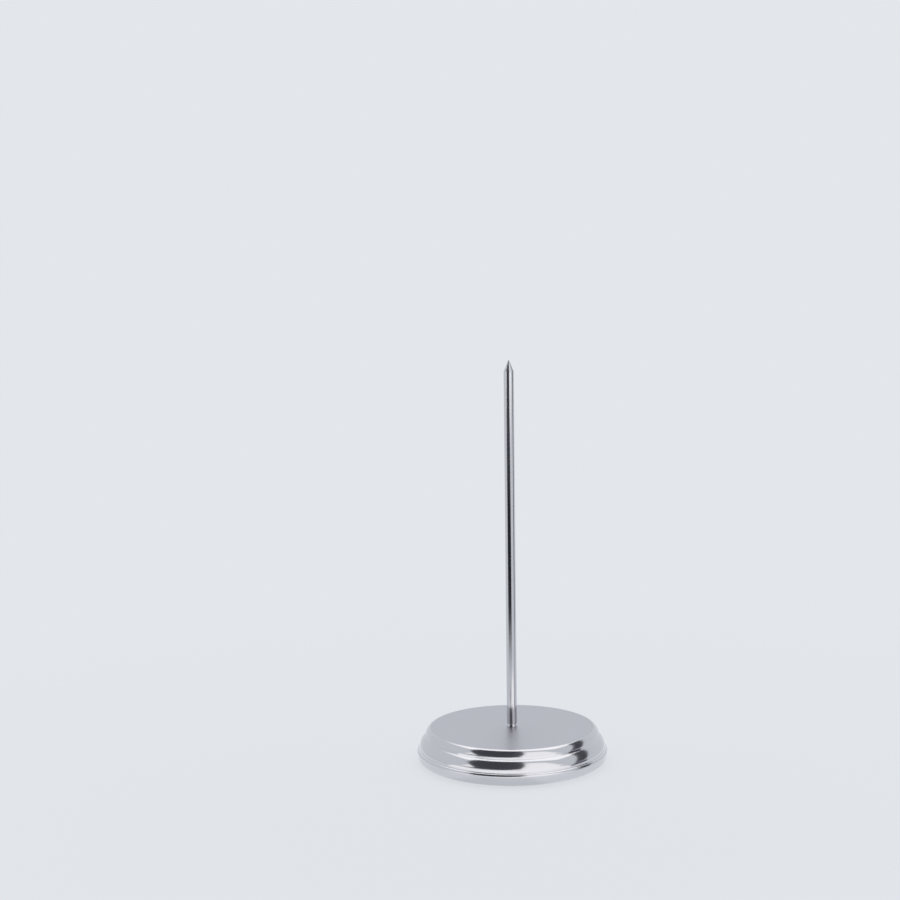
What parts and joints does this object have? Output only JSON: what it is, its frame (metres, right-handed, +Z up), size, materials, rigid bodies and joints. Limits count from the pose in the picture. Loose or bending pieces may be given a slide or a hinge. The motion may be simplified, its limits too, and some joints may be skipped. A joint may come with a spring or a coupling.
{
  "type": "bill spike",
  "caption": "Pointed steel rod standing on a weighted round base with rounded tiers, for spearing and keeping bills, receipts and order slips on a desk or counter.",
  "frame": {"origin": "middle of the pad's underside, where the part stands on the desk", "axes": "+Z up along the spike towards its point; X and Y are free, because the part is round"},
  "size_m": [0.076, 0.076, 0.161],
  "materials": {
    "polished_rod": "polished",
    "plated_shell": "polished tiers, satin top",
    "plated_band": "polished",
    "cast_weight": "as cast",
    "zinc_fastener": "zinc plated",
    "foam_pad": "matte foam"
  },
  "bodies": {
    "root": {"spike": "polished_rod", "base_shell": "plated_shell", "ballast_disc": "cast_weight", "bottom_pan": "plated_band", "plain_washer": "zinc_fastener", "spring_washer": "zinc_fastener", "hex_nut": "zinc_fastener", "non_slip_pad": "foam_pad"}
  },
  "joints": []
}
